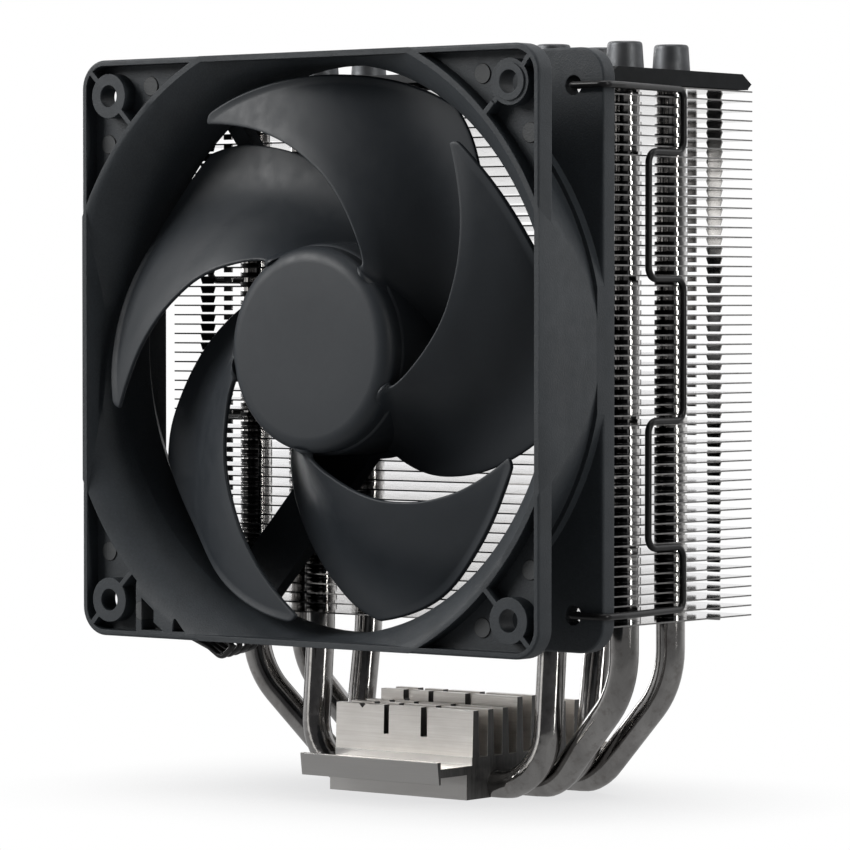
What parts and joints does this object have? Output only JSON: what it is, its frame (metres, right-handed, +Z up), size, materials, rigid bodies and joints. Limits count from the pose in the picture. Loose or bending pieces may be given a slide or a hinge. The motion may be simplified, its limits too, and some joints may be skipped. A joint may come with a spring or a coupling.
{
  "type": "cpu tower cooler",
  "caption": "Tower heatsink with bent heat pipes through a fin stack, capped pipe ends, a bare metal contact block and one square axial fan held on by wire clips.",
  "frame": {"origin": "centre of the base block's contact face", "axes": "+Z up from the contact face along the heat pipes, +X across the fins, +Y along the air flow, so the fan's open front faces -Y"},
  "size_m": [0.1234, 0.0813, 0.1546],
  "materials": {
    "fan_plastic": "black glass-filled plastic, fine matt grain",
    "bare_aluminium": "bare extruded aluminium, sawn ends, light brush marks",
    "pipe_nickel": "copper tube with dark nickel plating, glossy",
    "wick_copper": "sintered copper powder",
    "fin_nickel": "thin aluminium sheet with dark nickel plating, raw bright edges",
    "cover_black": "black anodised sheet, satin",
    "cap_black": "dark grey satin cap",
    "pad_rubber": "soft black rubber",
    "brass_tube": "turned brass",
    "bronze_sleeve": "oil-filled sintered bronze",
    "white_plastic": "moulded plastic",
    "lamination_steel": "stacked steel laminations",
    "winding_copper": "enamelled copper wire",
    "pcb_green": "printed circuit board",
    "chip_black": "moulded chip package",
    "label_silver": "blank satin foil label",
    "cable_black": "black insulation",
    "plug_black": "moulded plug housing",
    "terminal_tin": "tinned contact",
    "yoke_steel": "drawn steel cup",
    "magnet_ferrite": "bonded ferrite ring",
    "shaft_steel": "ground steel",
    "retainer_plastic": "nylon split washer",
    "clip_wire": "spring wire, glossy black coating"
  },
  "bodies": {
    "heatsink": {"base_block": "bare_aluminium", "heat_pipe_front_inner": "pipe_nickel", "heat_pipe_front_outer": "pipe_nickel", "heat_pipe_rear_inner": "pipe_nickel", "heat_pipe_rear_outer": "pipe_nickel", "pipe_wicks": "wick_copper", "fin_stack": "fin_nickel", "top_cover": "cover_black", "pipe_caps": "cap_black"},
    "fan": {"fan_frame": "fan_plastic", "fan_pads": "pad_rubber", "bearing_tube": "brass_tube", "sleeve_bearing": "bronze_sleeve", "thrust_pad": "retainer_plastic", "stator_core": "lamination_steel", "stator_insulators": "white_plastic", "stator_windings": "winding_copper", "motor_pcb": "pcb_green", "board_parts": "chip_black", "rear_label": "label_silver", "fan_cable": "cable_black", "cable_plug": "plug_black", "plug_terminals": "terminal_tin"},
    "rotor": {"fan_impeller": "fan_plastic", "rotor_yoke": "yoke_steel", "rotor_magnet": "magnet_ferrite", "rotor_shaft": "shaft_steel", "shaft_retainer": "retainer_plastic"},
    "left_clip": {"clip_left": "clip_wire"},
    "right_clip": {"clip_right": "clip_wire"}
  },
  "joints": [
    {"name": "fan_slide", "type": "slide", "parent": "heatsink", "child": "fan", "axis": [0, -1, 0], "range_m": [0, 0.04]},
    {"name": "rotor_spin", "type": "hinge", "parent": "fan", "child": "rotor", "pos_m": [0, -0.0387, 0.0924], "axis": [0, -1, 0], "continuous": true},
    {"name": "clip_left_swing", "type": "hinge", "parent": "fan", "child": "left_clip", "pos_m": [-0.0525, -0.02885, 0.0924], "axis": [0, 0, 1], "range_deg": [0, 18]},
    {"name": "clip_right_swing", "type": "hinge", "parent": "fan", "child": "right_clip", "pos_m": [0.0525, -0.02885, 0.0924], "axis": [0, 0, -1], "range_deg": [0, 18]}
  ]
}
